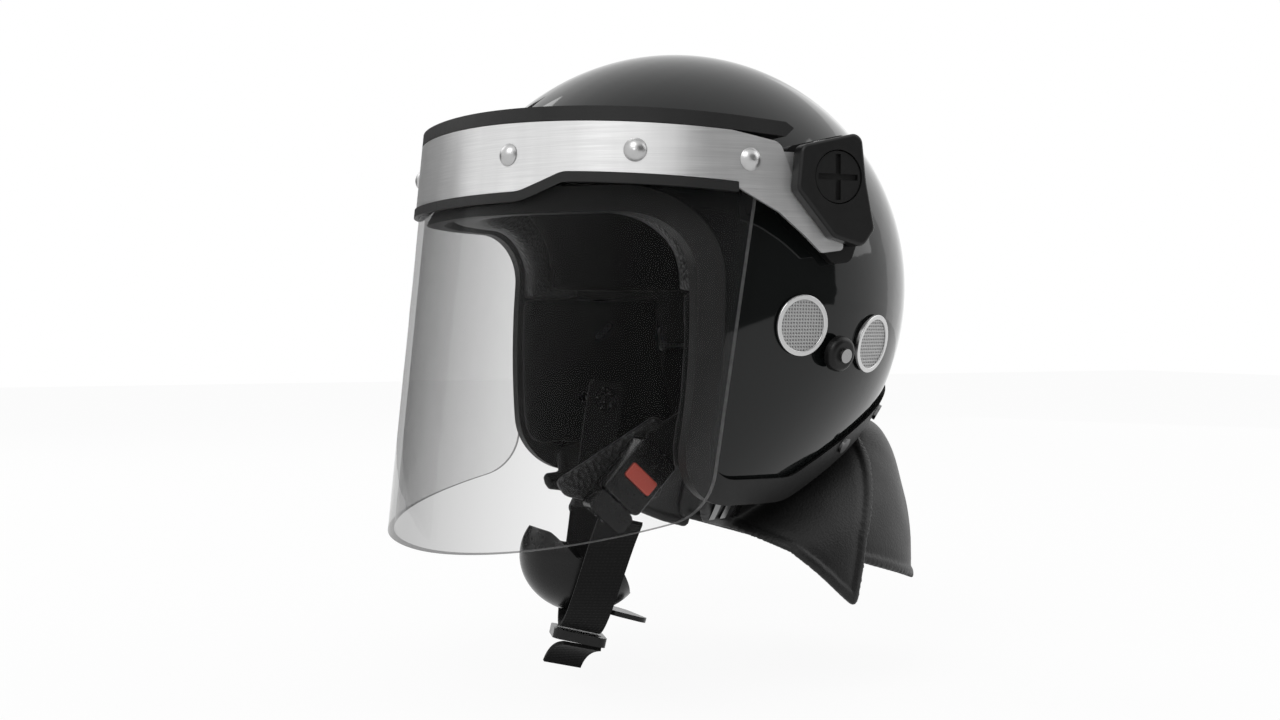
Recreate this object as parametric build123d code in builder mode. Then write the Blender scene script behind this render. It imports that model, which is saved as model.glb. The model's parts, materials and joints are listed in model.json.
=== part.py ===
"""Police riot helmet with a lifting face shield, millimetres, +Z up, face towards -Y.

The origin is the centre of the head, where the helmet is held. +X is the wearer's left.
Places seen from the side are given as (y, z).
"""

from build123d import *
import os
from math import cos, pi, radians, sin, sqrt

os.makedirs("parts", exist_ok=True)

# Shell form: a body of revolution about an axis that leans forward and down
form_radius = 116.6
crown_length = 120.2
skirt_length = 188.2
form_lean = 40.3
form_centre_y = 9.5
form_centre_z = 4.6
shell_wall = 4.0
slope_probe = 1.0

# Shell edge, seen from the side
brow_height = 38.0
temple_y = -30.0
cheek_y = -34.0
lobe_bottom = -90.0
lobe_rear_y = 30.0
lobe_rear_drop = 2.0
nape_slope = 0.477
brow_corner_radius = 26.0
lobe_front_radius = 28.0
lobe_rear_radius = 30.0

# Rubber edge trim
trim_lip = 2.0
trim_width = 12.0
trim_outer = 1.8
trim_inner = 1.5

# Padding inside the shell
layer_gap = 0.3
liner_thickness = 17.0
comfort_thickness = 7.5
cheek_thickness = 12.0
roll_thickness = 20.0
nape_pad_thickness = 17.0
cheek_pad_top = 4.0
cheek_pad_rear = 48.0
nape_pad_top = -22.0
pad_front_y = -15.5
crown_pad_gap = 8.0
lining_low = 8.0
lining_high = 56.0

# Vents and anchor stud on each side
vent_places = {"front": (18.7, -10.7), "rear": (64.4, -19.0)}
vent_outer_radius = 13.5
vent_inner_radius = 11.3
vent_sleeve_radius = 12.3
vent_proud = 1.6
vent_flange = 1.1
vent_depth = 6.0
mesh_thickness = 0.8
mesh_inset = 0.6
stud_place = (38.0, -22.4)
stud_radius = 8.0
stud_height = 7.5
stud_neck_radius = 5.0
stud_neck_height = 3.0
stud_dome_radius = 2.5
stud_bore = 2.2
stud_screw_radius = 3.2
stud_screw_shank = 2.0
stud_screw_head = 1.6

# Visor pivot
pivot_y = 28.0
pivot_z = 53.0
base_face = 118.5
base_gap = 0.15
base_corner_radius = 5.0
washer_radius = 12.0
washer_thickness = 1.4
boss_radius = 6.5
boss_clearance = 0.3
bracket_thickness = 1.5
bracket_face = 120.2
bracket_radius = 17.0
bracket_front_y = -3.0
bracket_top = 63.7
bracket_bottom = 44.0
cover_face = 124.3
cover_thickness = 6.7
cover_skirt_y = 37.0
cover_corner_radius = 4.5
cover_edge_radius = 1.6
coin_recess_radius = 11.7
coin_recess_depth = 3.5
coin_head_radius = 11.2
coin_head_thickness = 3.0
coin_slot_width = 2.6
coin_slot_depth = 1.6
coin_shank_radius = 3.0
base_outline = ((8, 66), (38, 73), (46, 67), (48, 33), (42, 17), (33, 16), (14, 36))
cover_outline = ((10, 66), (40, 73), (42.5, 52), (47, 31), (41, 23), (26, 27), (8, 47))

# Visor sheet: one curve at every height, leaning forward at the bottom
visor_half_width = 122.0
visor_front_y = -116.3
visor_curve_y = -18.8
visor_power = 2.145
visor_lean = 0.106
plan_steps = 12
lens_thickness = 3.0
lens_top = 70.0
lens_setback = 1.5
lens_edge_y = -14.4
lens_edge_slope = 0.16
lens_corner_z = -90.0
lens_bottom_slope = 0.232
lens_corner_radius = 25.0

# Metal band round the top of the lens, seen from the side
band_thickness = 1.5
band_top = 71.5
band_top_slope = 0.069
band_front_bottom = 47.0
band_step_front_y = -97.0
band_step_rear_y = -84.0
band_side_bottom = 54.5
band_notch_y = -17.0
band_notch_top = 50.0
band_notch_bottom = 47.4
arm_outline = ((3, 37.5), (15, 28.3), (24, 20.5), (35, 22), (34, 33), (18, 39.7), (12, 46), (8, 56.5))
arm_shoulder = (3.4, 67.4)
arm_top_y = -20.0
band_soft_radius = 6.0
arm_corner_radius = 2.0
rivet_radius = 5.0
rivet_dome = 3.0
rivet_lift = 0.15
rivet_shank_radius = 2.0
rivet_places = ((-98.7, 63.1), (-59.2, 62.5), (-11.2, 59.5))

# Rubber seal on the band and gasket below it
seal_height = 6.5
seal_width = 22.0
seal_shell_gap = 0.9
seal_rear_y = 6.0
seal_chamfer = 4.0
gasket_thickness = 2.2
gasket_height = 4.5
run_gap = 0.3
sheet_gap = 0.2
visor_clearance = 0.6

# Neck guard: evenly spaced rings of one flaring form, each a half width and a half length
guard_tilt = 25.5
guard_rim_y = 10.0
guard_rim_z = -101.5
guard_ring_step = 15.0
guard_rings = (
    (88, 129),
    (83.5, 118),
    (70.5, 99.5),
    (90, 124),
    (98.5, 122),
    (100, 119),
    (100, 114),
    (99, 107),
    (98, 98),
)
guard_rings_above_rim = 2
guard_thickness = 3.0
guard_panel_gap = 0.3
guard_end_cut = 2.0
guard_tuck = 15.0
flap_back = ((105, -40), (97, -60), (69, -111))
flap_front = (8, -104)
left_flap_outline = (
    (-15, -60),
    *flap_back,
    (59.3, -140.5),
    (50, -133),
    (35.5, -120.4),
    (27.5, -113.5),
    flap_front,
    (-9, -100),
    (-15, -92),
)
right_flap_outline = (
    (-15, -60),
    *flap_back,
    (66, -126),
    (52, -122),
    (22, -110),
    flap_front,
    (-24, -99),
    (-24, -92),
    (-15, -91),
)
flap_corner_radius = 2.0
rear_guard_front = (60.0, -119.0)
rear_guard_low = (129.0, -139.5)
rear_guard_radius = 6.0
snap_places = ((62, -66), (92, -52))
snap_head_radius = 4.0
snap_head_height = 1.4
snap_shank_radius = 1.6
snap_length = 12.8
snap_clearance = 0.1
clip_places = (-8, -1, 7)
clip_thickness = 1.2
clip_width = 3.5
clip_bottom = -99.0
clip_height = 8.0

# Chin strap: anchors, side straps and the webbing loop under the chin
strap_width = 20.0
strap_thickness = 1.8
strap_steps = 12
strap_x = 70.0
right_strap_x = 63.0
swing_y = 2.0
swing_z = -50.0
anchor_radius = 3.0
anchor_clearance = 0.4
anchor_head_radius = 6.0
anchor_head_thickness = 1.2
left_strap_outline = ((5, -37), (15, -54), (-22.2, -74), (-36.8, -60.4))
right_strap_outline = ((13.5, -43), (4, -102.5), (-15.7, -99.2), (-6.3, -39.5))
strap_corner_radius = 3.0
left_flap_pad_outline = ((-27, -52), (-76, -80), (-71, -87), (-59, -90), (-25, -90), (-15, -60))
left_flap_pad_x = (59.2, 63.7)
right_pad_outline = ((-1, -76), (-19, -108), (-17, -112), (-2, -115), (8, -114), (19, -107), (21, -78))
right_pad_x = (60.0, 66.0)
pad_corner_radius = 2.5
loop_left_place = (67, -46, -98)
loop_right_place = (-right_strap_x, -7, -107)
loop_low_place = (8, -42, -158)
loop_shape = ((1, 1), (0.55, 0.42), (0.28, 0.12))

# Buckle with a sprung button and a tongue
buckle_place = (strap_x, -43, -79.5)
buckle_direction = (0, -0.68, -0.73)
buckle_size = (30, 22, 11)
buckle_middle = (-3, 1.5, 0)
buckle_corner_radius = 3.0
buckle_edge_radius = 1.2
lug_size = (4, 4, 1.6)
lug_places = ((-13, -6.5), (6, -6.5))
well_size = (8, 16, 7.4)
well_middle = (-2, 2)
well_corner_radius = 1.5
button_clearance = 0.3
button_height = 6.0
button_proud = 1.2
spring_thickness = 0.3
spring_rise = 1.5
tongue_plate_size = (22, 13, 1.8)
tongue_plate_middle = (5, 1.5, -3.4)
tongue_slot_size = (24, 14, 2.4)
tongue_slot_middle = (4, 1.5, -3.4)
tongue_block_size = (10, 22, 8.5)
tongue_block_middle = (17.5, 1.5, -0.25)

# Chin cup, ladder lock and loose strap end
cup_centre = (2, -38, -124)
cup_radii = (29, 31, 27)
cup_tilt = -10.0
cup_wall = 2.6
cup_outline = (
    (-78, -104),
    (-60, -109),
    (-51, -121),
    (-42, -119),
    (-33, -121),
    (-20, -140),
    (-4, -152),
    (0, -168),
    (-78, -168),
)
cup_corner_radius = 2.5
lip_place = (2, -20, -152.4)
lip_direction = (0, 0.956, -0.293)
lip_size = (24, 34, 2.4)
lip_corner_radius = 8.0
lock_size = (26, 26, 4.5)
lock_corner_radius = 4.0
lock_slot_size = (4, 21)
lock_slot_place = 5.5
tail_place = (10, -44, -166.5)
tail_points = ((6, 1.5), (0, 0), (-8, -4), (-13, -11))
tail_across = (0, -0.97, 0.25)

reach = 400.0
everywhere = (-reach, reach)


def write(part, name):
    """Label a piece and write it as one STEP file."""
    part.label = name
    export_step(part, f"parts/{name}.step")


def write_both(half, name):
    """Join a left half to its mirror image and write the whole piece."""
    write(half + mirror(half, about=Plane.YZ), name)


def write_pair(part, name):
    """Write a piece for the wearer's left and its mirror image for the right."""
    write(part, f"left_{name}")
    write(mirror(part, about=Plane.YZ), f"right_{name}")


form_axis_y = -sin(radians(form_lean))
form_axis_z = -cos(radians(form_lean))


def form(inset):
    """The left half of the helmet's form, its surface lying inset inside the shell's outer face."""
    centre = (0, form_centre_y, form_centre_z)
    direction = (0, form_axis_y, form_axis_z)
    radius = form_radius - inset
    with BuildPart(mode=Mode.PRIVATE) as half:
        with BuildSketch(Plane(origin=centre, x_dir=direction, z_dir=(1, 0, 0))):
            with BuildLine():
                EllipticalCenterArc((0, 0), skirt_length - inset, radius, start_angle=0, arc_size=90)
                EllipticalCenterArc((0, 0), crown_length - inset, radius, start_angle=90, arc_size=90)
                Line((inset - crown_length, 0), (skirt_length - inset, 0))
            make_face()
        revolve(axis=Axis(centre, direction), revolution_arc=180)
    return half.part


def shell_x(y, z):
    """Half width of the shell's outer face at a place seen from the side."""
    ahead = y - form_centre_y
    above = z - form_centre_z
    along = ahead * form_axis_y + above * form_axis_z
    across = ahead * form_axis_z - above * form_axis_y
    length = skirt_length if along > 0 else crown_length
    ring_radius = form_radius * sqrt(1 - (along / length) ** 2)
    return sqrt(ring_radius**2 - across**2)


def shell_plane(place):
    """Plane on the shell's left face at a place seen from the side, its normal outwards."""
    y, z = place
    x = shell_x(y, z)
    slope_y = (shell_x(y + slope_probe, z) - shell_x(y - slope_probe, z)) / (2 * slope_probe)
    slope_z = (shell_x(y, z + slope_probe) - shell_x(y, z - slope_probe)) / (2 * slope_probe)
    return Plane(origin=(x, y, z), x_dir=(slope_y, 1, 0), z_dir=(1, -slope_y, -slope_z))


def side_prism(points, radii, margin=0):
    """A prism along X over a rounded outline of side places, grown by margin."""
    with BuildPart(mode=Mode.PRIVATE) as prism:
        with BuildSketch(Plane.YZ):
            with BuildLine():
                FilletPolyline(*points, radius=radii, close=True)
            make_face()
            if margin:
                offset(amount=margin)
        extrude(amount=reach, both=True)
    return prism.part


def side_plate(points, radius, low, high):
    """A plate on the wearer's left, between two distances from the middle plane."""
    with BuildPart(mode=Mode.PRIVATE) as plate:
        with BuildSketch(Plane.YZ.offset(low)):
            with BuildLine():
                FilletPolyline(*points, radius=radius, close=True)
            make_face()
        extrude(amount=high - low)
    return plate.part


def edge_prism(margin):
    """All that lies in front of and below the shell's edge, and margin more."""
    rear_z = lobe_bottom - lobe_rear_drop + nape_slope * (reach - lobe_rear_y)
    corners = (
        (-reach, brow_height),
        (temple_y, brow_height),
        (cheek_y, lobe_bottom),
        (lobe_rear_y, lobe_bottom - lobe_rear_drop),
        (reach, rear_z),
        (reach, -reach),
        (-reach, -reach),
    )
    radii = (
        trim_lip,
        brow_corner_radius,
        lobe_front_radius,
        lobe_rear_radius,
        trim_lip,
        trim_lip,
        trim_lip,
    )
    return side_prism(corners, radii, margin)


def block(x_range, y_range, z_range):
    """A box between three pairs of limits."""
    limits = (x_range, y_range, z_range)
    size = [high - low for low, high in limits]
    middle = tuple((high + low) / 2 for low, high in limits)
    with BuildPart(mode=Mode.PRIVATE) as box:
        with Locations(middle):
            Box(*size)
    return box.part


left_side = block((0, reach), everywhere, everywhere)
right_side = block((-reach, 0), everywhere, everywhere)


def disc(place_plane, radius, low, high):
    """A cylinder along a plane's normal, from low to high above the plane."""
    with BuildPart(mode=Mode.PRIVATE) as cylinder:
        with BuildSketch(place_plane.offset(low)):
            Circle(radius)
        extrude(amount=high - low)
    return cylinder.part


def plan_curve(half_width, front_y, shift):
    """Points of the visor's curved plan, from the left side to the front and on to the right."""
    points = []
    for step in range(plan_steps + 1):
        angle = pi * step / plan_steps
        across = abs(cos(angle)) ** (2 / visor_power)
        ahead = sin(angle) ** (2 / visor_power) if 0 < step < plan_steps else 0
        x = half_width * (across if cos(angle) > 0 else -across)
        points.append((x, visor_curve_y + shift - (visor_curve_y - front_y) * ahead))
    return points


def visor_sheet(grow, thickness, low, high):
    """A bent sheet between two heights, its outer face grown outside the lens by grow."""
    rear_y = pivot_y + bracket_radius
    shift = visor_lean * low
    outer = plan_curve(visor_half_width + grow, visor_front_y - grow, shift)
    inset = grow - thickness
    inner = plan_curve(visor_half_width + inset, visor_front_y - inset, shift)
    forward = (0, -1)
    with BuildPart(mode=Mode.PRIVATE) as sheet:
        with BuildSketch(Plane.XY.offset(low)):
            with BuildLine():
                Line((outer[0][0], rear_y), outer[0])
                Spline(*outer, tangents=[forward, (0, 1)])
                Line(outer[-1], (outer[-1][0], rear_y))
                Line((outer[-1][0], rear_y), (inner[-1][0], rear_y))
                Line((inner[-1][0], rear_y), inner[-1])
                Spline(*inner, tangents=[forward, (0, 1)])
                Line(inner[0], (inner[0][0], rear_y))
                Line((inner[0][0], rear_y), (outer[0][0], rear_y))
            make_face()
        extrude(amount=(high - low) * sqrt(1 + visor_lean**2), dir=(0, visor_lean, 1))
    return sheet.part


# Outer shell with its vent, stud and snap holes
stud_plane = shell_plane(stud_place)
vent_planes = {name: shell_plane(place) for name, place in vent_places.items()}
snap_planes = [shell_plane(place) for place in snap_places]
through = 4 * shell_wall
snap_holes = [disc(plane, snap_shank_radius, -through, through) for plane in snap_planes]
stud_hole = disc(stud_plane, stud_bore, -through, through)
vent_holes = [disc(plane, vent_sleeve_radius, -through, through) for plane in vent_planes.values()]
with BuildPart() as outer_shell:
    add(form(0))
    add(form(shell_wall), mode=Mode.SUBTRACT)
    add(edge_prism(trim_lip), mode=Mode.SUBTRACT)
    for hole in vent_holes + snap_holes + [stud_hole]:
        add(hole, mode=Mode.SUBTRACT)
write_both(outer_shell.part, "outer_shell")

# Rubber trim, a channel over the whole edge, shaved where the lens passes the brow
trim_depth = shell_wall + trim_inner
lens_low = 2 * lens_corner_z
lens_high = 2 * lens_top
lens_space = visor_sheet(0, lens_thickness + visor_clearance, lens_low, lens_high)
with BuildPart() as edge_trim:
    add(form(-trim_outer))
    add(form(trim_depth), mode=Mode.SUBTRACT)
    add(edge_prism(trim_width), mode=Mode.INTERSECT)
    add(edge_prism(0), mode=Mode.SUBTRACT)
    add(outer_shell.part, mode=Mode.SUBTRACT)
    add(lens_space, mode=Mode.SUBTRACT)
    for hole in snap_holes:
        add(hole, mode=Mode.SUBTRACT)
write_both(edge_trim.part, "edge_trim")

# Impact liner under the crown, the sides and the back
liner_outer = shell_wall + layer_gap
liner_inner = liner_outer + liner_thickness
pad_outer = trim_depth + layer_gap
with BuildPart() as impact_liner:
    add(form(liner_outer))
    add(form(liner_inner), mode=Mode.SUBTRACT)
    add(edge_prism(trim_width + roll_thickness), mode=Mode.SUBTRACT)
    add(block(everywhere, (-reach, cheek_pad_rear), (-reach, cheek_pad_top)), mode=Mode.SUBTRACT)
    add(block(everywhere, everywhere, (-reach, nape_pad_top)), mode=Mode.SUBTRACT)
    for hole in vent_holes:
        add(hole, mode=Mode.SUBTRACT)
write_both(impact_liner.part, "impact_liner")

# Leather-covered roll round the brow and temples
roll_bottom = cheek_pad_top + layer_gap
with BuildPart() as brow_roll:
    add(form(pad_outer))
    add(form(liner_inner), mode=Mode.SUBTRACT)
    add(edge_prism(trim_width + roll_thickness - layer_gap), mode=Mode.INTERSECT)
    add(edge_prism(trim_lip), mode=Mode.SUBTRACT)
    add(block(everywhere, (-reach, cheek_pad_rear), (-reach, roll_bottom)), mode=Mode.SUBTRACT)
    add(block(everywhere, (cheek_pad_rear, reach), everywhere), mode=Mode.SUBTRACT)
write_both(brow_roll.part, "brow_roll")

# Comfort lining: a band round the head and a pad at the crown
lining_outer = liner_inner + layer_gap
lining_inner = lining_outer + comfort_thickness
with BuildPart() as head_lining:
    add(form(lining_outer))
    add(form(lining_inner), mode=Mode.SUBTRACT)
    add(edge_prism(trim_width), mode=Mode.SUBTRACT)
    add(block(everywhere, everywhere, (lining_low, lining_high)), mode=Mode.INTERSECT)
write_both(head_lining.part, "head_lining")

with BuildPart() as crown_pad:
    add(form(lining_outer))
    add(form(lining_inner), mode=Mode.SUBTRACT)
    add(block(everywhere, everywhere, (-reach, lining_high + crown_pad_gap)), mode=Mode.SUBTRACT)
write_both(crown_pad.part, "crown_pad")

# Cheek and nape pads
pad_edge = guard_tuck + layer_gap
cheek_inner = pad_outer + cheek_thickness
anchor_plane = Plane(origin=(0, swing_y, swing_z), x_dir=(0, 1, 0), z_dir=(1, 0, 0))
with BuildPart() as cheek_pad:
    add(form(pad_outer))
    add(form(cheek_inner), mode=Mode.SUBTRACT)
    add(edge_prism(trim_lip), mode=Mode.SUBTRACT)
    add(block((0, reach), (-reach, cheek_pad_rear - layer_gap), (-reach, cheek_pad_top)), mode=Mode.INTERSECT)
    add(block(everywhere, everywhere, (-reach, lobe_bottom + pad_edge)), mode=Mode.SUBTRACT)
    add(edge_prism(pad_edge) & block(everywhere, (pad_front_y, reach), everywhere), mode=Mode.SUBTRACT)
    add(vent_holes[0], mode=Mode.SUBTRACT)
    add(disc(stud_plane, stud_radius, -through, through), mode=Mode.SUBTRACT)
    add(disc(anchor_plane, anchor_radius + anchor_clearance, 0, reach), mode=Mode.SUBTRACT)
write_pair(cheek_pad.part, "cheek_pad")

with BuildPart() as nape_pad:
    add(form(pad_outer))
    add(form(pad_outer + nape_pad_thickness), mode=Mode.SUBTRACT)
    add(edge_prism(pad_edge), mode=Mode.SUBTRACT)
    add(block(everywhere, (cheek_pad_rear, reach), (-reach, nape_pad_top - layer_gap)), mode=Mode.INTERSECT)
    for hole in [vent_holes[1]] + snap_holes:
        add(hole, mode=Mode.SUBTRACT)
write_both(nape_pad.part, "nape_pad")

# Vents: a flanged metal sleeve with a mesh disc
for name, plane in vent_planes.items():
    with BuildPart() as vent_rim:
        add(disc(plane, vent_sleeve_radius, -vent_depth, vent_proud))
        add(disc(plane, vent_outer_radius, vent_proud - vent_flange, vent_proud))
        add(disc(plane, vent_inner_radius, -through, through), mode=Mode.SUBTRACT)
        fillet(vent_rim.faces().sort_by(Axis(plane.origin, plane.z_dir))[-1].edges(), vent_flange / 3)
    write_pair(vent_rim.part, f"{name}_vent_rim")
    mesh_top = vent_proud - mesh_inset
    with BuildPart() as vent_mesh:
        add(disc(plane, vent_inner_radius, mesh_top - mesh_thickness, mesh_top))
    write_pair(vent_mesh.part, f"{name}_vent_mesh")

# Rubber anchor stud and its screw
with BuildPart() as stud:
    add(disc(stud_plane, stud_neck_radius, 0, stud_neck_height))
    add(disc(stud_plane, stud_radius, stud_neck_height, stud_height))
    fillet(stud.faces().sort_by(Axis(stud_plane.origin, stud_plane.z_dir))[-1].edges(), stud_dome_radius)
    add(disc(stud_plane, stud_bore, -through, through), mode=Mode.SUBTRACT)
    add(form(-base_gap), mode=Mode.SUBTRACT)
write_pair(stud.part, "mask_stud")

with BuildPart() as stud_screw:
    add(disc(stud_plane, stud_screw_shank, -shell_wall, stud_height))
    add(disc(stud_plane, stud_screw_radius, stud_height, stud_height + stud_screw_head))
write_pair(stud_screw.part, "stud_screw")

# Pivot: a base on the shell, a washer, a cover with a skirt, and a coin-slot screw
pivot_plane = Plane(origin=(0, pivot_y, pivot_z), x_dir=(0, 1, 0), z_dir=(1, 0, 0))

with BuildPart() as pivot_base:
    add(side_plate(base_outline, base_corner_radius, 0, base_face))
    add(form(-base_gap), mode=Mode.SUBTRACT)
    add(disc(pivot_plane, boss_radius, base_face, cover_face))
    add(disc(pivot_plane, coin_shank_radius, base_face - cover_thickness, reach), mode=Mode.SUBTRACT)
write_pair(pivot_base.part, "pivot_base")

with BuildPart() as pivot_washer:
    add(disc(pivot_plane, washer_radius, base_face, base_face + washer_thickness))
    add(disc(pivot_plane, boss_radius, base_face, base_face + washer_thickness), mode=Mode.SUBTRACT)
write_pair(pivot_washer.part, "pivot_washer")

cover_top = cover_face + cover_thickness
with BuildPart() as pivot_cover:
    add(side_plate(cover_outline, cover_corner_radius, base_face, cover_top))
    fillet(pivot_cover.faces().sort_by(Axis.X)[-1].edges(), cover_edge_radius)
    add(disc(pivot_plane, bracket_radius + run_gap + run_gap, 0, cover_face), mode=Mode.SUBTRACT)
    add(block((0, cover_face), (-reach, cover_skirt_y), everywhere), mode=Mode.SUBTRACT)
    add(disc(pivot_plane, coin_recess_radius, cover_top - coin_recess_depth, reach), mode=Mode.SUBTRACT)
    add(disc(pivot_plane, coin_shank_radius, 0, reach), mode=Mode.SUBTRACT)
write_pair(pivot_cover.part, "pivot_cover")

coin_seat = cover_top - coin_recess_depth
with BuildPart() as pivot_screw:
    add(disc(pivot_plane, coin_head_radius, coin_seat, coin_seat + coin_head_thickness))
    add(disc(pivot_plane, coin_shank_radius - boss_clearance / 2, base_face - cover_thickness, coin_seat))
    with BuildSketch(pivot_plane.offset(coin_seat + coin_head_thickness)):
        Rectangle(2 * coin_head_radius, coin_slot_width)
        Rectangle(coin_slot_width, 2 * coin_head_radius)
        Circle(coin_head_radius - coin_slot_width / 2, mode=Mode.INTERSECT)
    extrude(amount=-coin_slot_depth, mode=Mode.SUBTRACT)
write_pair(pivot_screw.part, "pivot_screw")


# Visor lens and metal band, with their rivet holes
def band_top_at(y):
    """Height of the band's top edge at a place seen from the side."""
    return band_top - band_top_slope * (y - arm_top_y)


far_front_y = -reach / 2
lens_corner_y = lens_edge_y + lens_edge_slope * lens_corner_z
lens_top_y = lens_edge_y + lens_edge_slope * lens_top
lens_outline = (
    (far_front_y, band_top_at(far_front_y) - lens_setback),
    (lens_top_y, band_top_at(lens_top_y) - lens_setback),
    (lens_corner_y, lens_corner_z),
    (far_front_y, lens_corner_z + lens_bottom_slope * (far_front_y - lens_corner_y)),
)
lens_radii = (run_gap, run_gap, lens_corner_radius, run_gap)
band_grow = sheet_gap + band_thickness


def band_x(y, z):
    """Half width of the band's outer face at a place seen from the side."""
    ahead = visor_curve_y + visor_lean * z - y
    ahead_share = max(0, ahead) / (visor_curve_y - visor_front_y + band_grow)
    return (visor_half_width + band_grow) * (1 - ahead_share**visor_power) ** (1 / visor_power)


rivet_planes = []
for y, z in rivet_places:
    slope = (band_x(y + slope_probe, z) - band_x(y - slope_probe, z)) / (2 * slope_probe)
    outwards = (1, -slope, visor_lean * slope)
    rivet_plane = Plane(origin=(band_x(y, z), y, z), x_dir=(slope, 1, 0), z_dir=outwards)
    rivet_planes.append(rivet_plane.offset(rivet_lift))
rivet_depth = lens_thickness + band_grow
rivet_holes = [disc(plane, rivet_shank_radius, -2 * rivet_depth, rivet_depth) for plane in rivet_planes]

with BuildPart() as visor_lens:
    add(visor_sheet(0, lens_thickness, lens_low, lens_high))
    add(left_side, mode=Mode.INTERSECT)
    add(side_prism(lens_outline, lens_radii), mode=Mode.INTERSECT)
    for hole in rivet_holes:
        add(hole, mode=Mode.SUBTRACT)
write_both(visor_lens.part, "visor_lens")

band_outline = (
    (far_front_y, band_top_at(far_front_y)),
    (arm_top_y, band_top_at(arm_top_y)),
    arm_shoulder,
    *reversed(arm_outline),
    (band_notch_y, band_notch_bottom),
    (band_notch_y, band_notch_top),
    (band_step_rear_y, band_side_bottom),
    (band_step_front_y, band_front_bottom),
    (far_front_y, band_front_bottom),
)
arm_radii = [arm_corner_radius] * len(arm_outline)
step_radii = [band_soft_radius, band_soft_radius, run_gap]
band_radii = [run_gap, band_soft_radius, band_soft_radius, *arm_radii, run_gap, run_gap, *step_radii]
with BuildPart() as visor_band:
    add(visor_sheet(band_grow, band_thickness, 0, 2 * band_top))
    add(left_side, mode=Mode.INTERSECT)
    add(side_prism(band_outline, band_radii), mode=Mode.INTERSECT)
    for hole in rivet_holes:
        add(hole, mode=Mode.SUBTRACT)
write_both(visor_band.part, "visor_band")

# Bracket plates that carry the band on the pivots
with BuildPart() as pivot_bracket:
    add(block(
        (bracket_face, bracket_face + bracket_thickness),
        (bracket_front_y, pivot_y),
        (bracket_bottom, bracket_top),
    ))
    add(disc(pivot_plane, bracket_radius, bracket_face, bracket_face + bracket_thickness))
    add(disc(pivot_plane, boss_radius + boss_clearance, 0, reach), mode=Mode.SUBTRACT)
write_pair(pivot_bracket.part, "pivot_bracket")

# Domed rivets through the band and the lens
dome_ball_radius = (rivet_radius**2 + rivet_dome**2) / (2 * rivet_dome)
rivets = []
for plane in rivet_planes:
    with BuildPart() as rivet:
        with Locations(plane.offset(rivet_dome - dome_ball_radius)):
            Sphere(dome_ball_radius)
        with BuildSketch(plane):
            Circle(rivet_radius)
        extrude(amount=rivet_dome, mode=Mode.INTERSECT)
        with BuildSketch(plane):
            Circle(rivet_shank_radius)
        extrude(amount=-rivet_depth)
    rivets.append(rivet.part)
    rivets.append(mirror(rivet.part, about=Plane.YZ))
write(Compound(children=rivets), "band_rivets")

# Rubber seal on top of the band, reaching in towards the shell
seal_outline = (
    (far_front_y, band_top_at(far_front_y) + layer_gap),
    (seal_rear_y, band_top_at(seal_rear_y) + layer_gap),
    (seal_rear_y + seal_chamfer, band_top_at(seal_rear_y) + seal_chamfer),
    (seal_rear_y, band_top_at(seal_rear_y) + seal_height),
    (far_front_y, band_top_at(far_front_y) + seal_height),
)
with BuildPart() as top_seal:
    add(visor_sheet(band_grow, seal_width, 0, 2 * band_top))
    add(side_prism(seal_outline, [run_gap] * len(seal_outline)), mode=Mode.INTERSECT)
    add(left_side, mode=Mode.INTERSECT)
    add(form(-seal_shell_gap), mode=Mode.SUBTRACT)
write_both(top_seal.part, "top_seal")

# Rubber gasket under the band
gasket_outline = (
    (far_front_y, band_front_bottom - gasket_height),
    (band_step_front_y, band_front_bottom - gasket_height),
    (band_step_rear_y, band_side_bottom - gasket_height),
    (band_notch_y, band_notch_top - gasket_height),
    (band_notch_y, band_notch_top - layer_gap),
    (band_step_rear_y, band_side_bottom - layer_gap),
    (band_step_front_y, band_front_bottom - layer_gap),
    (far_front_y, band_front_bottom - layer_gap),
)
gasket_radii = [run_gap, band_soft_radius, band_soft_radius, run_gap, run_gap, run_gap, run_gap, run_gap]
with BuildPart() as lower_gasket:
    add(visor_sheet(sheet_gap + gasket_thickness, gasket_thickness, 0, 2 * band_top))
    add(left_side, mode=Mode.INTERSECT)
    add(side_prism(gasket_outline, gasket_radii), mode=Mode.INTERSECT)
write_both(lower_gasket.part, "lower_gasket")

# Neck guard: panels of one flaring form, tucked inside the shell edge
def guard_form(inset, beyond=0):
    """The neck guard's form, its surface inset inside the outer face and its ends beyond the rings."""
    rim_place = Vector(0, guard_rim_y, guard_rim_z)
    down = Vector(0, sin(radians(guard_tilt)), -cos(radians(guard_tilt)))
    with BuildPart(mode=Mode.PRIVATE) as flare:
        for ring, (half_width, length) in enumerate(guard_rings):
            depth = guard_ring_step * (ring - guard_rings_above_rim)
            if ring == 0:
                depth -= beyond
            if ring == len(guard_rings) - 1:
                depth += beyond
            with BuildSketch(Plane(origin=rim_place + down * depth, x_dir=(1, 0, 0), z_dir=-down)):
                Ellipse(half_width - inset, length - inset)
        loft()
    return flare.part


half_keepout = form(-trim_outer) - form(pad_outer) - edge_prism(0)
shell_keepout = half_keepout + mirror(half_keepout, about=Plane.YZ)


def guard_wall(inset):
    """One layer of the guard, reaching up inside the shell, with its snap holes."""
    wall = guard_form(inset) - guard_form(inset + guard_thickness, guard_end_cut)
    wall = wall & edge_prism(guard_tuck)
    wall -= shell_keepout
    for hole in snap_holes:
        wall -= hole
        wall -= mirror(hole, about=Plane.YZ)
    return wall


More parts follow.
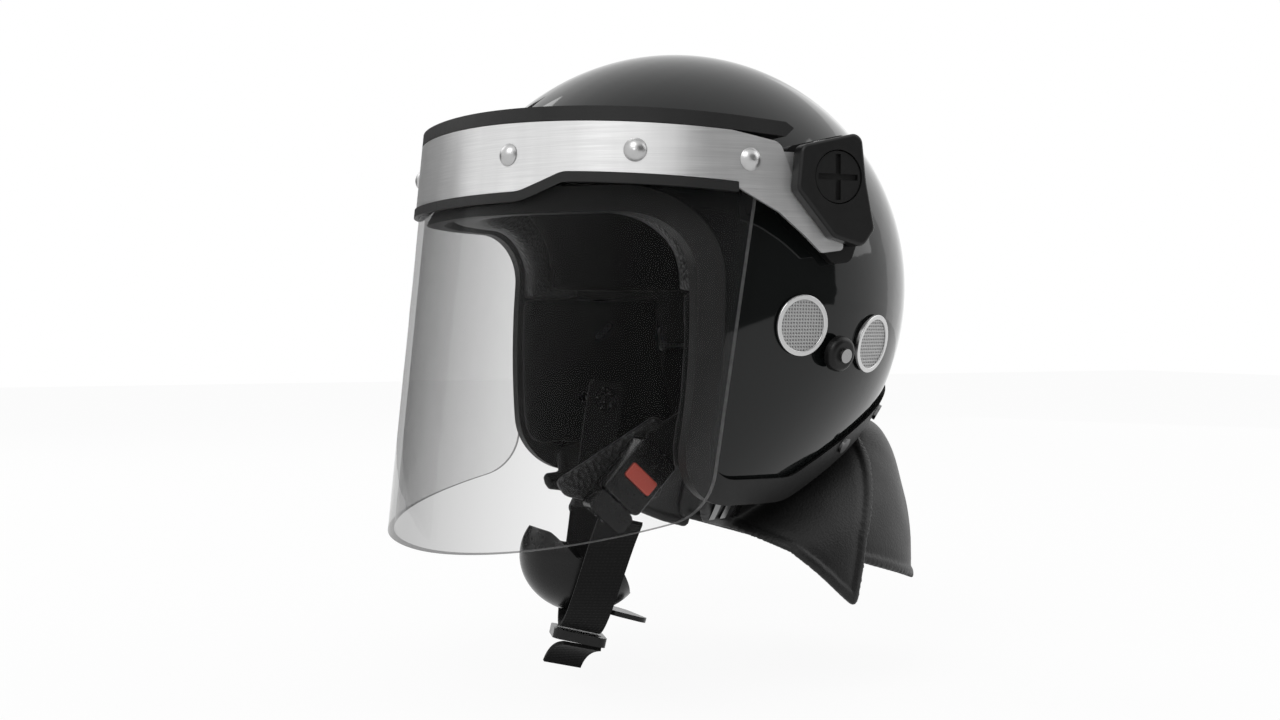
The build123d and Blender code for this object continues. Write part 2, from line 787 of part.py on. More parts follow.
flap_wall = guard_wall(0)
left_flap_prism = side_prism(left_flap_outline, flap_corner_radius)
right_flap_prism = side_prism(right_flap_outline, flap_corner_radius)
write(flap_wall & left_flap_prism & left_side, "left_guard_flap")
write(flap_wall & right_flap_prism & right_side, "right_guard_flap")
rear_outline = (
    (rear_guard_front[0], reach),
    rear_guard_front,
    rear_guard_low,
    (reach, rear_guard_low[1]),
    (reach, reach),
)
rear_prism = side_prism(rear_outline, rear_guard_radius)
write(guard_wall(guard_thickness + guard_panel_gap) & rear_prism, "rear_guard")

# Snaps through the trim, the shell and the guard
snaps = []
for plane in snap_planes:
    with BuildPart() as snap:
        add(disc(plane, snap_shank_radius - snap_clearance, -snap_length, trim_outer))
        add(disc(plane, snap_head_radius, trim_outer, trim_outer + snap_head_height))
    snaps.append(snap.part)
    snaps.append(mirror(snap.part, about=Plane.YZ))
write(Compound(children=snaps), "guard_snaps")

# Metal clips on the flaps just below the shell edge
clip_skin = guard_form(-clip_thickness) - guard_form(0, guard_end_cut)
clips = []
for y in clip_places:
    clip = clip_skin & block((0, reach), (y, y + clip_width), (clip_bottom, clip_bottom + clip_height))
    clips.append(clip)
    clips.append(mirror(clip, about=Plane.YZ))
write(Compound(children=clips), "guard_clips")


# Chin strap: webbing from an anchor inside each cheek to a loop under the chin
def webbing(points, plane):
    """Webbing along a smooth line through points in a plane, its width square to the plane."""
    path = Spline(*points)
    sides = []
    for side in (strap_thickness / 2, -strap_thickness / 2):
        side_points = []
        for step in range(strap_steps + 1):
            place = path @ (step / strap_steps)
            heading = path % (step / strap_steps)
            side_points.append((place.X + side * heading.Y, place.Y - side * heading.X))
        sides.append(side_points)
    right, left = sides
    with BuildPart(mode=Mode.PRIVATE) as strap:
        with BuildSketch(plane):
            with BuildLine():
                Spline(*right)
                Line(right[-1], left[-1])
                Spline(*left)
                Line(left[0], right[0])
            make_face()
        extrude(amount=strap_width / 2, both=True)
    return strap.part


def slab(plane, size, middle, corner_radius):
    """A flat piece with rounded corners, its size and middle given in the plane's own directions."""
    length, width, thickness = size
    along, across, up = middle
    with BuildPart(mode=Mode.PRIVATE) as piece:
        with BuildSketch(plane.offset(up - thickness / 2)):
            with Locations((along, across)):
                RectangleRounded(length, width, corner_radius)
        extrude(amount=thickness)
    return piece.part


strap_inner = strap_x - strap_thickness / 2
strap_outer = strap_x + strap_thickness / 2
right_strap_inner = right_strap_x - strap_thickness / 2
right_strap_outer = right_strap_x + strap_thickness / 2
anchor_wall = shell_x(swing_y, swing_z) - shell_wall


def strap_anchor(seat):
    """A disc head on a post that reaches the shell's inner face."""
    with BuildPart(mode=Mode.PRIVATE) as anchor:
        add(disc(anchor_plane, anchor_head_radius, seat - anchor_head_thickness, seat))
        add(disc(anchor_plane, anchor_radius, seat, anchor_wall))
        add(form(shell_wall), mode=Mode.INTERSECT)
    return anchor.part


write(strap_anchor(strap_inner - layer_gap), "left_strap_anchor")
right_anchor = strap_anchor(right_strap_inner - layer_gap)
write(mirror(right_anchor, about=Plane.YZ), "right_strap_anchor")

anchor_eye = disc(anchor_plane, anchor_radius + anchor_clearance, 0, reach)
with BuildPart() as left_side_strap:
    add(side_plate(left_strap_outline, strap_corner_radius, strap_inner, strap_outer))
    add(anchor_eye, mode=Mode.SUBTRACT)
write(left_side_strap.part, "left_side_strap")

with BuildPart() as right_side_strap:
    add(side_plate(right_strap_outline, strap_corner_radius, right_strap_inner, right_strap_outer))
    add(anchor_eye, mode=Mode.SUBTRACT)
write(mirror(right_side_strap.part, about=Plane.YZ), "right_side_strap")

# Loop under the chin
loop_left = Vector(*loop_left_place)
loop_right = Vector(*loop_right_place)
loop_low = Vector(*loop_low_place)
loop_normal = (loop_left - loop_low).cross(loop_right - loop_low)
loop_plane = Plane(origin=loop_low, x_dir=loop_left - loop_right, z_dir=loop_normal)
left_end = loop_plane.to_local_coords(loop_left)
right_end = loop_plane.to_local_coords(loop_right)
loop_points = [(left_end.X * x, left_end.Y * y) for x, y in loop_shape]
loop_points.append((0, 0))
loop_points += [(right_end.X * x, right_end.Y * y) for x, y in reversed(loop_shape)]
buckle_plane = Plane(origin=buckle_place, x_dir=buckle_direction, z_dir=(1, 0, 0))
block_clearance = tuple(size + 2 * layer_gap for size in tongue_block_size)
loop_webbing = webbing(loop_points, loop_plane)
with BuildPart() as lower_strap:
    add(loop_webbing)
    add(slab(buckle_plane, block_clearance, tongue_block_middle, buckle_corner_radius), mode=Mode.SUBTRACT)
write(lower_strap.part, "lower_strap")

# Soft pads on the side straps
left_pad_low, left_pad_high = left_flap_pad_x
write(side_plate(left_flap_pad_outline, pad_corner_radius, left_pad_low, left_pad_high), "left_strap_flap")
right_pad_low, right_pad_high = right_pad_x
with BuildPart() as right_strap_pad:
    add(side_plate(right_pad_outline, pad_corner_radius, right_pad_low, right_pad_high))
    add(right_side_strap.part, mode=Mode.SUBTRACT)
    add(mirror(lower_strap.part, about=Plane.YZ), mode=Mode.SUBTRACT)
write(mirror(right_strap_pad.part, about=Plane.YZ), "right_strap_pad")

# Buckle: housing with a button well and a tongue slot
housing_face = buckle_size[2] / 2
well_depth = well_size[2]
well_floor = housing_face - well_depth
lug_height = lug_size[2]
with BuildPart() as buckle_housing:
    add(slab(buckle_plane, buckle_size, buckle_middle, buckle_corner_radius))
    fillet(buckle_housing.faces().sort_by(Axis.X)[-1].edges(), buckle_edge_radius)
    for along, across in lug_places:
        add(slab(buckle_plane, lug_size, (along, across, housing_face + lug_height / 2), lug_height / 2))
    add(
        slab(buckle_plane, well_size, (*well_middle, housing_face - well_depth / 2), well_corner_radius),
        mode=Mode.SUBTRACT,
    )
    add(slab(buckle_plane, tongue_slot_size, tongue_slot_middle, layer_gap), mode=Mode.SUBTRACT)
write(buckle_housing.part, "buckle_housing")

button_length, button_width = [size - 2 * button_clearance for size in well_size[:2]]
button_middle = (*well_middle, housing_face + button_proud - button_height / 2)
with BuildPart() as buckle_button:
    add(slab(
        buckle_plane,
        (button_length, button_width, button_height),
        button_middle,
        well_corner_radius - button_clearance,
    ))
    fillet(buckle_button.faces().sort_by(Axis.X)[-1].edges(), button_proud / 2)
write(buckle_button.part, "buckle_button")

# Leaf spring under the button, bent up in the middle
spring_half = button_width / 2 - spring_rise
spring_plane = Plane(
    origin=buckle_plane.from_local_coords((*well_middle, well_floor)),
    x_dir=buckle_plane.y_dir,
    z_dir=buckle_plane.x_dir,
)
spring_up = 1 if spring_plane.y_dir.X > 0 else -1
with BuildPart() as button_spring:
    with BuildSketch(spring_plane):
        with BuildLine():
            low = spring_up * layer_gap
            high = spring_up * spring_rise
            thick = spring_up * spring_thickness
            ThreePointArc((-spring_half, low), (0, high), (spring_half, low))
            Line((spring_half, low), (spring_half, low + thick))
            ThreePointArc((spring_half, low + thick), (0, high + thick), (-spring_half, low + thick))
            Line((-spring_half, low + thick), (-spring_half, low))
        make_face()
    extrude(amount=button_length / 4, both=True)
write(button_spring.part, "button_spring")

with BuildPart() as buckle_tongue:
    add(slab(buckle_plane, tongue_plate_size, tongue_plate_middle, layer_gap))
    add(slab(buckle_plane, tongue_block_size, tongue_block_middle, buckle_corner_radius))
write(buckle_tongue.part, "buckle_tongue")


# Chin cup: part of a bowl with a raised front, low sides and a rear lip
def bowl(inset):
    """The bowl of the chin cup, its surface lying inset inside the outer face."""
    sizes = tuple(radius - inset for radius in cup_radii)
    return Pos(*cup_centre) * Rot(X=cup_tilt) * scale(Sphere(radius=1), by=sizes)


cup_bowl = bowl(0) - bowl(cup_wall)
with BuildPart() as chin_cup:
    add(cup_bowl)
    add(side_prism(cup_outline, cup_corner_radius), mode=Mode.INTERSECT)
    lip_normal = Vector(1, 0, 0).cross(Vector(*lip_direction))
    lip_plane = Plane(origin=lip_place, x_dir=lip_direction, z_dir=lip_normal)
    add(slab(lip_plane, lip_size, (0, 0, 0), lip_corner_radius))
    add(loop_webbing, mode=Mode.SUBTRACT)
write(chin_cup.part, "chin_cup")

# Ladder lock under the loop, and the loose end of the strap
lock_plane = Plane(origin=loop_low, x_dir=loop_plane.x_dir, z_dir=loop_plane.y_dir)
lock_level = -strap_thickness / 2 - layer_gap - lock_size[2] / 2
with BuildPart() as ladder_lock:
    add(slab(lock_plane, lock_size, (0, 0, lock_level), lock_corner_radius))
    for place in (-lock_slot_place, lock_slot_place):
        add(
            slab(lock_plane, (*lock_slot_size, 2 * lock_size[2]), (place, 0, lock_level), run_gap),
            mode=Mode.SUBTRACT,
        )
write(ladder_lock.part, "ladder_lock")

tail_plane = Plane(origin=tail_place, x_dir=(1, 0, 0), z_dir=tail_across)
write(webbing(tail_points, tail_plane), "strap_tail")
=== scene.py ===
import json
from math import pi

import bmesh
import bpy
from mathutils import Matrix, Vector, noise
from mathutils.kdtree import KDTree

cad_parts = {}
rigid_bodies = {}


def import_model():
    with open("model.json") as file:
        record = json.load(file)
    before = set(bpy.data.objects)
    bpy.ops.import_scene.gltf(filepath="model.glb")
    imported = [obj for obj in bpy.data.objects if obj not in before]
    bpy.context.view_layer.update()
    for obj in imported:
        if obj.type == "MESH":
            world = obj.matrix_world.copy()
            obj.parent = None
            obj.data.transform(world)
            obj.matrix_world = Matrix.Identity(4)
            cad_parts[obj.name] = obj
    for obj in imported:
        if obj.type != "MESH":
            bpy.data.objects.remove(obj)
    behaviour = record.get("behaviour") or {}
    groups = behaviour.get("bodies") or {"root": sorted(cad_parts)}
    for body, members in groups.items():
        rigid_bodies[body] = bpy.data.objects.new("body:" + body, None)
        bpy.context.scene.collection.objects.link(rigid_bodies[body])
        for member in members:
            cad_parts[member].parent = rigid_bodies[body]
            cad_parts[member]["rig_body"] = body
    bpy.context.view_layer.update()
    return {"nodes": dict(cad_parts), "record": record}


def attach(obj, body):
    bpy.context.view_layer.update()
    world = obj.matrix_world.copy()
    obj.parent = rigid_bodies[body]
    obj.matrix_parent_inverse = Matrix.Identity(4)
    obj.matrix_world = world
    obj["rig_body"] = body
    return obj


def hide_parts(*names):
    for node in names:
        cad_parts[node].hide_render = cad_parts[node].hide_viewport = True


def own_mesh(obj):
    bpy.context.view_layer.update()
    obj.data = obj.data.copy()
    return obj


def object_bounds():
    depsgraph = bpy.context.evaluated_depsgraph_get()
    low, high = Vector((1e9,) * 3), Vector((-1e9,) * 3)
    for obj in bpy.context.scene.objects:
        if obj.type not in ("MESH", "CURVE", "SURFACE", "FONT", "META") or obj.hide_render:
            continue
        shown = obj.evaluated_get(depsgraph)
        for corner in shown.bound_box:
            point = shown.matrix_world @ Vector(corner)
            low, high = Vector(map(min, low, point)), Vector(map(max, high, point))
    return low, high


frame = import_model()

MM = 0.001
WHITE = (1, 1, 1, 1)
nodes = frame["nodes"]
scene = bpy.context.scene
scene.view_settings.view_transform = "Standard"

# Camera, placed in metres, with its lens and sensor in millimetres
CAMERA_PLACE = (0.6966, -0.3260, -0.0113)
CAMERA_DIRECTION = (-0.9084, 0.4175, -0.0218)
CAMERA_LENS = 43.22
SENSOR_WIDTH = 36.0
NEAREST_SEEN = 0.01

# Behind this place the lens's side edges face backwards
LENS_SIDE_Y = -0.045

# How far a face of the lens has to turn to count as its side or end edge
SIDE_FACING = 0.5
END_FACING = 0.6

# Patterns in metres
WEB_PITCH = 0.0016
WIRE_PITCH = 0.0015

# Phase that a wave texture gains in one metre at a scale of one
WAVE_RATE = 20

# Height of leather's fine grain beside that of its cells
FINE_GRAIN = 0.6

# Studio, in metres and watts: each softbox has a name, place, size and power
WORLD_LIGHT = 0.6
FLOOR_DROP = 0.004
FLOOR_SIZE = 8.0
FLOOR_SHADE = 0.9
FLOOR_GLOW = 0.92
SOFTBOXES = (
    ("key_light", (0.9, -1.2, 1.5), 1.2, 15.0),
    ("rear_light", (0.6, 1.5, 0.9), 1.2, 6.0),
    ("far_light", (-1.4, -0.6, 0.8), 1.0, 5.0),
    ("rim_light", (-1.0, 1.75, 0.35), 1.5, 2.5),
)

# Each card has a name, place, size and the brightness that reflections see
REFLECTED_CARDS = (
    ("far_card", (-1.6, -0.5, 0.1), 1.6, 0.05),
    ("near_card", (2.2, 1.0, 0.3), 3.2, 0.12),
)


# Materials
def shader_of(material):
    return material.node_tree.nodes["Principled BSDF"]


def new_material(name, **inputs):
    """A node material whose shader sockets are set by name, with underscores for spaces."""
    material = bpy.data.materials.new(name)
    material.use_nodes = True
    shader = shader_of(material)
    for key, value in inputs.items():
        socket = shader.inputs[key.replace("_", " ")]
        socket.default_value = (*value, 1) if isinstance(value, tuple) else value
    return material


def node(owner, kind, **inputs):
    """Add a node to a material or the world and set its inputs by name."""
    made = owner.node_tree.nodes.new(kind)
    for key, value in inputs.items():
        made.inputs[key.replace("_", " ")].default_value = value
    return made


def link(owner, source, target):
    owner.node_tree.links.new(source, target)


def combine(owner, operation, first, second):
    """Join two values, each a number or another node's output, by one operation."""
    maths = node(owner, "ShaderNodeMath")
    maths.operation = operation
    for socket, value in zip(maths.inputs, (first, second)):
        if isinstance(value, (int, float)):
            socket.default_value = value
        else:
            link(owner, value, socket)
    return maths.outputs["Value"]


def coordinates(material, stretch=(1, 1, 1)):
    """Object coordinates in metres, stretched along each axis."""
    source = node(material, "ShaderNodeTexCoord")
    mapping = node(material, "ShaderNodeMapping", Scale=stretch)
    link(material, source.outputs["Object"], mapping.inputs["Vector"])
    return mapping.outputs["Vector"]


def noise_texture(material, scale, detail=4.0, stretch=(1, 1, 1)):
    texture = node(material, "ShaderNodeTexNoise", Scale=scale, Detail=detail)
    link(material, coordinates(material, stretch), texture.inputs["Vector"])
    return texture.outputs["Fac"]


def cell_texture(material, scale):
    texture = node(material, "ShaderNodeTexVoronoi", Scale=scale)
    link(material, coordinates(material), texture.inputs["Vector"])
    return texture.outputs["Distance"]


def wave_texture(material, direction, pitch, distortion=0.0):
    """Even ribs across one axis, one rib to each pitch in metres."""
    scale = 2 * pi / WAVE_RATE / pitch
    texture = node(material, "ShaderNodeTexWave", Scale=scale, Distortion=distortion)
    texture.bands_direction = direction
    link(material, coordinates(material), texture.inputs["Vector"])
    return texture.outputs["Fac"]


def crossed_waves(material, directions, pitch, distortion=0.0):
    """Spots in rows, where the ribs of both directions are high."""
    first, second = (
        wave_texture(material, direction, pitch, distortion) for direction in directions
    )
    return combine(material, "MULTIPLY", first, second)


def seen_rays(owner):
    """One for the rays that see or mirror the surroundings, zero for those that light things."""
    rays = node(owner, "ShaderNodeLightPath").outputs
    seen = combine(owner, "MAXIMUM", rays["Is Camera Ray"], rays["Is Glossy Ray"])
    return combine(owner, "MAXIMUM", seen, rays["Is Transmission Ray"])


def add_bump(material, height, strength, depth):
    """Raise the surface by a height from 0 to 1, depth metres in all."""
    bump = node(material, "ShaderNodeBump", Strength=strength, Distance=depth)
    link(material, height, bump.inputs["Height"])
    link(material, bump.outputs["Normal"], shader_of(material).inputs["Normal"])


def add_range(material, factor, socket, low, high):
    """Drive a number of the shader between two values."""
    spread = node(material, "ShaderNodeMapRange", To_Min=low, To_Max=high)
    link(material, factor, spread.inputs["Value"])
    link(material, spread.outputs["Result"], shader_of(material).inputs[socket])


def add_colours(material, factor, first, last):
    """Drive the base colour between two colours."""
    ramp = node(material, "ShaderNodeValToRGB")
    ramp.color_ramp.elements[0].color = (*first, 1)
    ramp.color_ramp.elements[1].color = (*last, 1)
    link(material, factor, ramp.inputs["Fac"])
    link(material, ramp.outputs["Color"], shader_of(material).inputs["Base Color"])


def add_shades(material, factor, colour, first, last):
    """Drive the base colour between two multiples of one colour."""
    first_colour = tuple(part * first for part in colour)
    last_colour = tuple(part * last for part in colour)
    add_colours(material, factor, first_colour, last_colour)


def grey(level):
    return (level, level, level)


def shell_paint():
    made = new_material("shell_paint", Specular_IOR_Level=0.3)
    darker = (0.0042, 0.0048, 0.0048)
    lighter = (0.0052, 0.006, 0.0058)
    add_colours(made, noise_texture(made, scale=30), darker, lighter)
    add_range(made, noise_texture(made, scale=60), "Roughness", low=0.04, high=0.07)
    add_bump(made, noise_texture(made, scale=160, detail=2.0), strength=0.02, depth=0.0001)
    return made


def rubber(name, level, roughness):
    made = new_material(name, Specular_IOR_Level=0.22)
    add_shades(made, noise_texture(made, scale=90), grey(level), first=0.8, last=1.2)
    patches = noise_texture(made, scale=300)
    add_range(made, patches, "Roughness", low=roughness - 0.07, high=roughness + 0.08)
    add_bump(made, noise_texture(made, scale=900, detail=6.0), strength=0.25, depth=0.0002)
    return made


def leather(name, level, cell, depth, roughness):
    """Grained leather whose grain cells are one cell wide, in metres."""
    made = new_material(name, Specular_IOR_Level=0.3)
    grain = cell_texture(made, scale=1 / cell)
    fine = noise_texture(made, scale=1 / cell, detail=5.0)
    height = combine(made, "ADD", grain, combine(made, "MULTIPLY", fine, FINE_GRAIN))
    add_shades(made, grain, grey(level), first=1.15, last=0.85)
    add_range(made, fine, "Roughness", low=roughness - 0.08, high=roughness + 0.1)
    add_bump(made, height, strength=0.5, depth=depth)
    return made


def cloth(name, level):
    made = new_material(name, Sheen_Weight=0.06, Sheen_Roughness=0.4, Specular_IOR_Level=0.08)
    nap = noise_texture(made, scale=700, detail=6.0)
    add_shades(made, nap, grey(level), first=0.75, last=1.25)
    add_range(made, nap, "Roughness", low=0.85, high=1.0)
    add_bump(made, nap, strength=0.3, depth=0.0003)
    return made


def webbing():
    """Woven strap with ribs along it and across it."""
    made = new_material(
        "webbing", Sheen_Weight=0.08, Sheen_Roughness=0.4, Specular_IOR_Level=0.12
    )
    ribs = crossed_waves(made, "ZY", WEB_PITCH, distortion=0.4)
    add_colours(made, ribs, grey(0.0045), grey(0.011))
    add_range(made, ribs, "Roughness", low=0.75, high=0.95)
    add_bump(made, ribs, strength=0.45, depth=0.0004)
    return made


def plastic(name, colour, roughness):
    made = new_material(name, Specular_IOR_Level=0.25)
    add_shades(made, noise_texture(made, scale=120), colour, first=0.85, last=1.15)
    patches = noise_texture(made, scale=400)
    add_range(made, patches, "Roughness", low=roughness - 0.05, high=roughness + 0.07)
    add_bump(made, noise_texture(made, scale=1000), strength=0.2, depth=0.00004)
    return made


def brushed(name, level, roughness):
    """Metal brushed along the band, its colour lightened in soft upright bands of painted
    highlight.
    """
    made = new_material(name, Metallic=0.75)
    lines = noise_texture(made, scale=60, stretch=(0.6, 0.6, 30))
    # Painted highlights: soft upright bands that lighten the colour, mixed with the brush lines
    painted_highlight_streaks = noise_texture(made, scale=55, detail=3.0, stretch=(1, 1, 0.06))
    brush_lines_and_painted_highlights = combine(made, "MULTIPLY", lines, painted_highlight_streaks)
    add_shades(made, brush_lines_and_painted_highlights, grey(level), first=0.72, last=1.25)
    add_range(made, lines, "Roughness", low=roughness - 0.07, high=roughness + 0.1)
    add_bump(made, lines, strength=0.15, depth=0.0001)
    return made


def satin_metal(name, level, roughness):
    made = new_material(name, Metallic=1.0)
    spots = noise_texture(made, scale=500)
    add_shades(made, spots, grey(level), first=0.9, last=1.06)
    add_range(made, spots, "Roughness", low=roughness - 0.06, high=roughness + 0.08)
    add_bump(made, spots, strength=0.1, depth=0.00005)
    return made


def woven_metal():
    """Wire cloth: pale raised wires both ways round dark holes."""
    made = new_material("woven_metal", Metallic=0.6, Roughness=0.4)
    holes = crossed_waves(made, "YZ", WIRE_PITCH)
    add_colours(made, holes, grey(0.4), grey(0.06))
    add_bump(made, combine(made, "SUBTRACT", 1.0, holes), strength=0.9, depth=0.0004)
    return made


def clear_sheet():
    """Clear plastic with a slight tint, denser towards grazing views."""
    made = new_material("clear_sheet", Roughness=0.03, Specular_IOR_Level=0.25)
    facing = node(made, "ShaderNodeLayerWeight", Blend=0.3)
    add_range(made, facing.outputs["Facing"], "Alpha", low=0.05, high=0.6)
    add_colours(made, noise_texture(made, scale=8, detail=1.0), grey(0.04), grey(0.05))
    return made


def sheet_edge():
    """The sawn edge of the clear sheet, paler and grainy."""
    made = new_material("sheet_edge", Specular_IOR_Level=0.4, Alpha=0.75)
    grain = noise_texture(made, scale=500, detail=5.0)
    add_colours(made, grain, grey(0.03), grey(0.3))
    add_range(made, grain, "Roughness", low=0.35, high=0.6)
    add_bump(made, grain, strength=0.4, depth=0.0002)
    return made


materials = {
    "shell": shell_paint(),
    "trim_rubber": rubber("trim_rubber", level=0.016, roughness=0.5),
    "foam": rubber("foam", level=0.008, roughness=0.9),
    "leather": leather("grained_leather", 0.012, cell=0.0022, depth=0.0012, roughness=0.4),
    "lining_cloth": cloth("lining_cloth", level=0.0045),
    "guard_leather": leather("guard_leather", 0.0075, cell=0.0011, depth=0.00015, roughness=0.45),
    "vent_ring": satin_metal("vent_ring", level=0.62, roughness=0.3),
    "vent_mesh": woven_metal(),
    "stud_rubber": rubber("stud_rubber", level=0.006, roughness=0.35),
    "screw_steel": satin_metal("screw_steel", level=0.32, roughness=0.25),
    "pivot_plastic": plastic("pivot_plastic", grey(0.008), roughness=0.38),
    "washer_nylon": plastic("washer_nylon", grey(0.3), roughness=0.5),
    "band_steel": brushed("band_steel", level=0.82, roughness=0.3),
    "visor_clear": clear_sheet(),
    "rivet_steel": satin_metal("rivet_steel", level=0.5, roughness=0.33),
    "snap_steel": satin_metal("snap_steel", level=0.2, roughness=0.3),
    "webbing": webbing(),
    "buckle_plastic": plastic("buckle_plastic", grey(0.007), roughness=0.25),
    "button_red": plastic("button_red", (0.45, 0.08, 0.06), roughness=0.3),
    "spring_steel": satin_metal("spring_steel", level=0.6, roughness=0.25),
}
node_slots = {part["node"]: part["material_slot"] for part in frame["record"]["subparts"]}


def paint(obj, slot):
    obj.data.materials.clear()
    obj.data.materials.append(materials[slot])


for name, obj in nodes.items():
    paint(obj, node_slots[name])

# The lens shows its sawn edge where a face turns away from the sheet's own two faces
lens = nodes["visor_lens"]
lens.data.materials.append(sheet_edge())
edge_index = len(lens.data.materials) - 1
for polygon in lens.data.polygons:
    backwards = polygon.normal.y if polygon.center.y > LENS_SIDE_Y else 0
    if backwards > SIDE_FACING or abs(polygon.normal.z) > END_FACING:
        polygon.material_index = edge_index

# Soft pieces grown from the solids they stand for
SAME_POINT = 0.02 * MM
SHARP_TURN = 0.9
EDGE_STEP = 2 * MM
FOLD_SCALE = 60

# Shares of the rise: how far a pad sinks at its edge, and a panel beside its binding
EDGE_SINK = 0.45
SEAM_SINK = 0.6


def copy_of(node_name, new_name):
    """A free copy of a node, without the node's parent and marks."""
    made = nodes[node_name].copy()
    made.data = nodes[node_name].data.copy()
    made.name = new_name
    made.parent = None
    for key in list(made.keys()):
        del made[key]
    scene.collection.objects.link(made)
    return made


def apply_modifiers(obj):
    shape = obj.evaluated_get(bpy.context.evaluated_depsgraph_get())
    mesh = bpy.data.meshes.new_from_object(shape)
    obj.modifiers.clear()
    obj.data = mesh


def sharp_edges(obj):
    """Start and end of every edge whose two faces turn by more than SHARP_TURN radians."""
    mesh = bmesh.new()
    mesh.from_mesh(obj.data)
    bmesh.ops.remove_doubles(mesh, verts=mesh.verts, dist=SAME_POINT)
    edges = []
    for edge in mesh.edges:
        if len(edge.link_faces) == 2 and edge.calc_face_angle(0) > SHARP_TURN:
            edges.append((edge.verts[0].co.copy(), edge.verts[1].co.copy()))
    mesh.free()
    return edges


def point_tree(edges):
    """A search tree of points set along the edges, EDGE_STEP apart."""
    points = []
    for start, end in edges:
        count = max(1, int((end - start).length / EDGE_STEP))
        points += [start.lerp(end, index / count) for index in range(count + 1)]
    tree = KDTree(len(points))
    for index, point in enumerate(points):
        tree.insert(point, index)
    tree.balance()
    return tree


def crowned(distance, rise, reach):
    """Height of a padded face at a distance from its edges."""
    share = min(1.0, distance / reach)
    return rise * (share * (2 - share) - EDGE_SINK)


def bound(distance, rise, width):
    """Height of a sewn panel: a raised binding at the edge and a sunk seam beside it."""
    if distance < width:
        return rise * (1 - (2 * distance / width - 1) ** 4)
    beyond = min(1.0, (distance - width) / width)
    return rise * (SEAM_SINK * beyond - SEAM_SINK)


def puffed(node_name, new_name, voxel, profile, rise, reach, wrinkle, smooth_steps):
    """A soft copy of a solid whose faces rise by a profile of the distance from the edges."""
    obj = copy_of(node_name, new_name)
    tree = point_tree(sharp_edges(obj))
    remesh = obj.modifiers.new("remesh", "REMESH")
    remesh.mode = "VOXEL"
    remesh.voxel_size = voxel
    apply_modifiers(obj)
    normals = [vertex.normal.copy() for vertex in obj.data.vertices]
    for vertex, normal in zip(obj.data.vertices, normals):
        distance = tree.find(vertex.co)[2]
        fold = wrinkle * min(1.0, distance / reach) * noise.noise(vertex.co * FOLD_SCALE)
        vertex.co += normal * (profile(distance, rise, reach) + fold)
    smooth = obj.modifiers.new("smooth", "SMOOTH")
    smooth.iterations = smooth_steps
    apply_modifiers(obj)
    for polygon in obj.data.polygons:
        polygon.use_smooth = True
    return obj


def body_of_node(node_name):
    return nodes[node_name]["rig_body"]


def stand_in(obj, node_name):
    """Give a piece its node's finish and body, and hide the node."""
    slot = node_slots[node_name]
    paint(obj, slot)
    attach(obj, body_of_node(node_name))
    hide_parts(node_name)


# Each pad's voxel, rise, reach and wrinkle in millimetres
PADS = (
    ("brow_roll", 2.2, 1.8, 9, 0.3),
    ("head_lining", 2.5, 1.6, 8, 0.5),
    ("crown_pad", 2.5, 2.0, 12, 0.6),
    ("left_cheek_pad", 2.2, 1.8, 10, 0.5),
    ("right_cheek_pad", 2.2, 1.8, 10, 0.5),
    ("nape_pad", 2.5, 2.0, 12, 0.6),
    ("impact_liner", 3.0, 0.4, 8, 0.1),
    ("left_strap_flap", 1.2, 0.9, 6, 0.3),
    ("right_strap_pad", 1.2, 0.9, 6, 0.3),
)
PAD_SMOOTHING = 6
for pad_name, voxel, rise, reach, wrinkle in PADS:
    soft_name = f"soft_{pad_name}"
    sizes = (rise * MM, reach * MM, wrinkle * MM)
    pad = puffed(pad_name, soft_name, voxel * MM, crowned, *sizes, PAD_SMOOTHING)
    stand_in(pad, pad_name)

# Sewn panels of the neck guard, in millimetres
PANELS = ("rear_guard", "left_guard_flap", "right_guard_flap")
PANEL_VOXEL = 1.0
BINDING_RISE = 0.6
BINDING_WIDTH = 4.5
PANEL_WRINKLE = 0.4
PANEL_SMOOTHING = 2
for panel_name in PANELS:
    soft_name = f"soft_{panel_name}"
    sizes = (BINDING_RISE * MM, BINDING_WIDTH * MM, PANEL_WRINKLE * MM)
    panel = puffed(panel_name, soft_name, PANEL_VOXEL * MM, bound, *sizes, PANEL_SMOOTHING)
    stand_in(panel, panel_name)

# Straps with softened edges
STRAPS = ("left_side_strap", "right_side_strap", "lower_strap", "strap_tail")
STRAP_ROUNDING = 0.4
ROUNDING_STEPS = 2
for strap_name in STRAPS:
    strap = copy_of(strap_name, f"woven_{strap_name}")
    bevel = strap.modifiers.new("bevel", "BEVEL")
    bevel.width = STRAP_ROUNDING * MM
    bevel.segments = ROUNDING_STEPS
    apply_modifiers(strap)
    stand_in(strap, strap_name)

# The leaf spring, copied with a mesh of its own
leaf_spring = copy_of("button_spring", "leaf_spring")
stand_in(leaf_spring, "button_spring")
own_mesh(leaf_spring)

# Camera
camera = bpy.data.objects.new("camera", bpy.data.cameras.new("camera"))
scene.collection.objects.link(camera)
camera.data.sensor_width = SENSOR_WIDTH
camera.data.lens = CAMERA_LENS
camera.data.clip_start = NEAREST_SEEN
camera.location = CAMERA_PLACE
camera.rotation_mode = "QUATERNION"
camera.rotation_quaternion = Vector(CAMERA_DIRECTION).to_track_quat("-Z", "Y")
scene.camera = camera

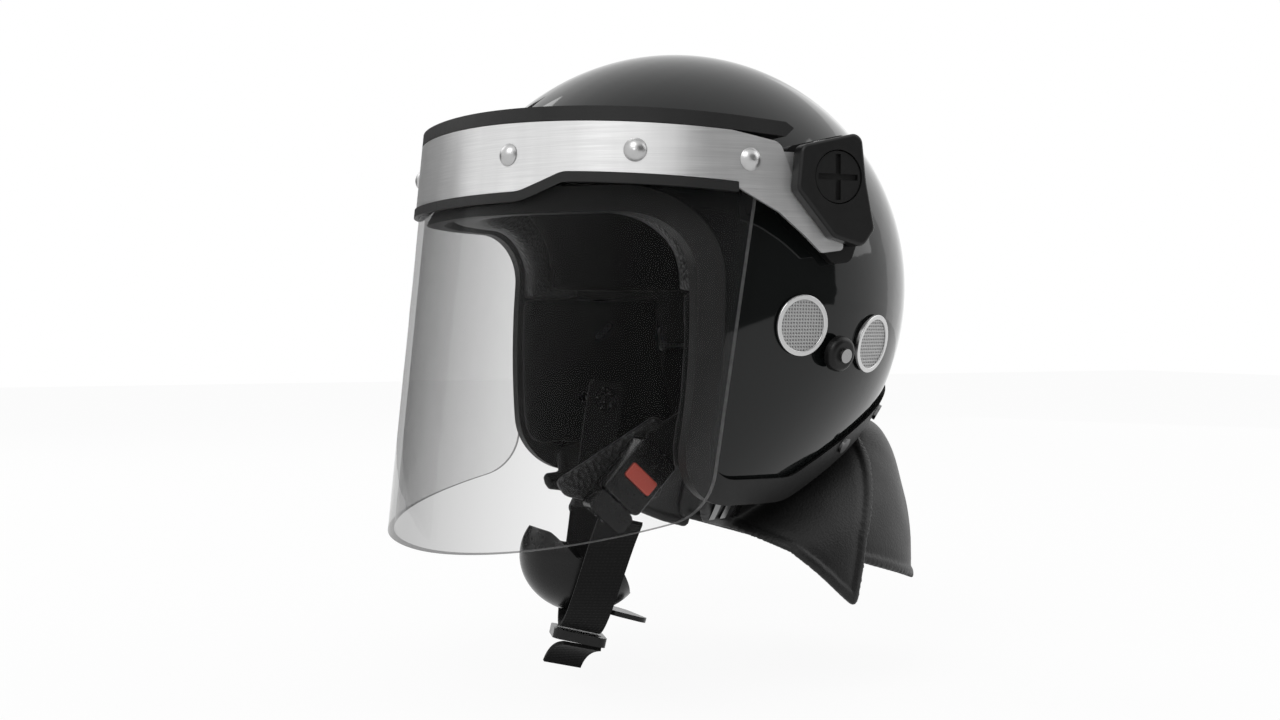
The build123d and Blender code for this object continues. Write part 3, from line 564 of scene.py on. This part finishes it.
# Floor that looks white and keeps the object's shadow
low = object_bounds()[0]
bpy.ops.mesh.primitive_plane_add(size=FLOOR_SIZE, location=(0, 0, low.z - FLOOR_DROP))
floor = bpy.context.object
floor.name = "floor"
floor_paint = new_material("floor_paint", Base_Color=grey(FLOOR_SHADE), Roughness=0.9)
floor.data.materials.append(floor_paint)
glow = node(floor_paint, "ShaderNodeEmission", Color=WHITE, Strength=1.0)
mix = node(floor_paint, "ShaderNodeMixShader")
share = combine(floor_paint, "MULTIPLY", seen_rays(floor_paint), FLOOR_GLOW)
link(floor_paint, share, mix.inputs["Fac"])
link(floor_paint, shader_of(floor_paint).outputs["BSDF"], mix.inputs[1])
link(floor_paint, glow.outputs["Emission"], mix.inputs[2])
output = floor_paint.node_tree.nodes["Material Output"]
link(floor_paint, mix.outputs["Shader"], output.inputs["Surface"])

# World that looks white and lights the object less
world = bpy.data.worlds.new("studio")
world.use_nodes = True
scene.world = world
background = world.node_tree.nodes["Background"]
background.inputs["Color"].default_value = WHITE
strength = node(world, "ShaderNodeMapRange", To_Min=WORLD_LIGHT, To_Max=1.0)
link(world, seen_rays(world), strength.inputs["Value"])
link(world, strength.outputs["Result"], background.inputs["Strength"])

# Softboxes, turned towards the object
for light_name, place, size, power in SOFTBOXES:
    lamp = bpy.data.lights.new(light_name, "AREA")
    lamp.shape = "SQUARE"
    lamp.size = size
    lamp.energy = power
    light = bpy.data.objects.new(light_name, lamp)
    light.location = place
    light.visible_camera = False
    light.rotation_mode = "QUATERNION"
    light.rotation_quaternion = (-Vector(place)).to_track_quat("-Z", "Y")
    scene.collection.objects.link(light)

# Dark cards that only reflections see, as in a studio with a white backdrop
for card_name, place, size, brightness in REFLECTED_CARDS:
    bpy.ops.mesh.primitive_plane_add(size=size, location=place)
    card = bpy.context.object
    card.name = card_name
    card.rotation_mode = "QUATERNION"
    card.rotation_quaternion = Vector(place).to_track_quat("Z", "Y")
    card_paint = new_material(
        card_name,
        Base_Color=grey(0.0),
        Specular_IOR_Level=0.0,
        Emission_Color=grey(brightness),
        Emission_Strength=1.0,
    )
    card.data.materials.append(card_paint)
    card.visible_camera = False
    card.visible_diffuse = False
    card.visible_transmission = False
    card.visible_shadow = False
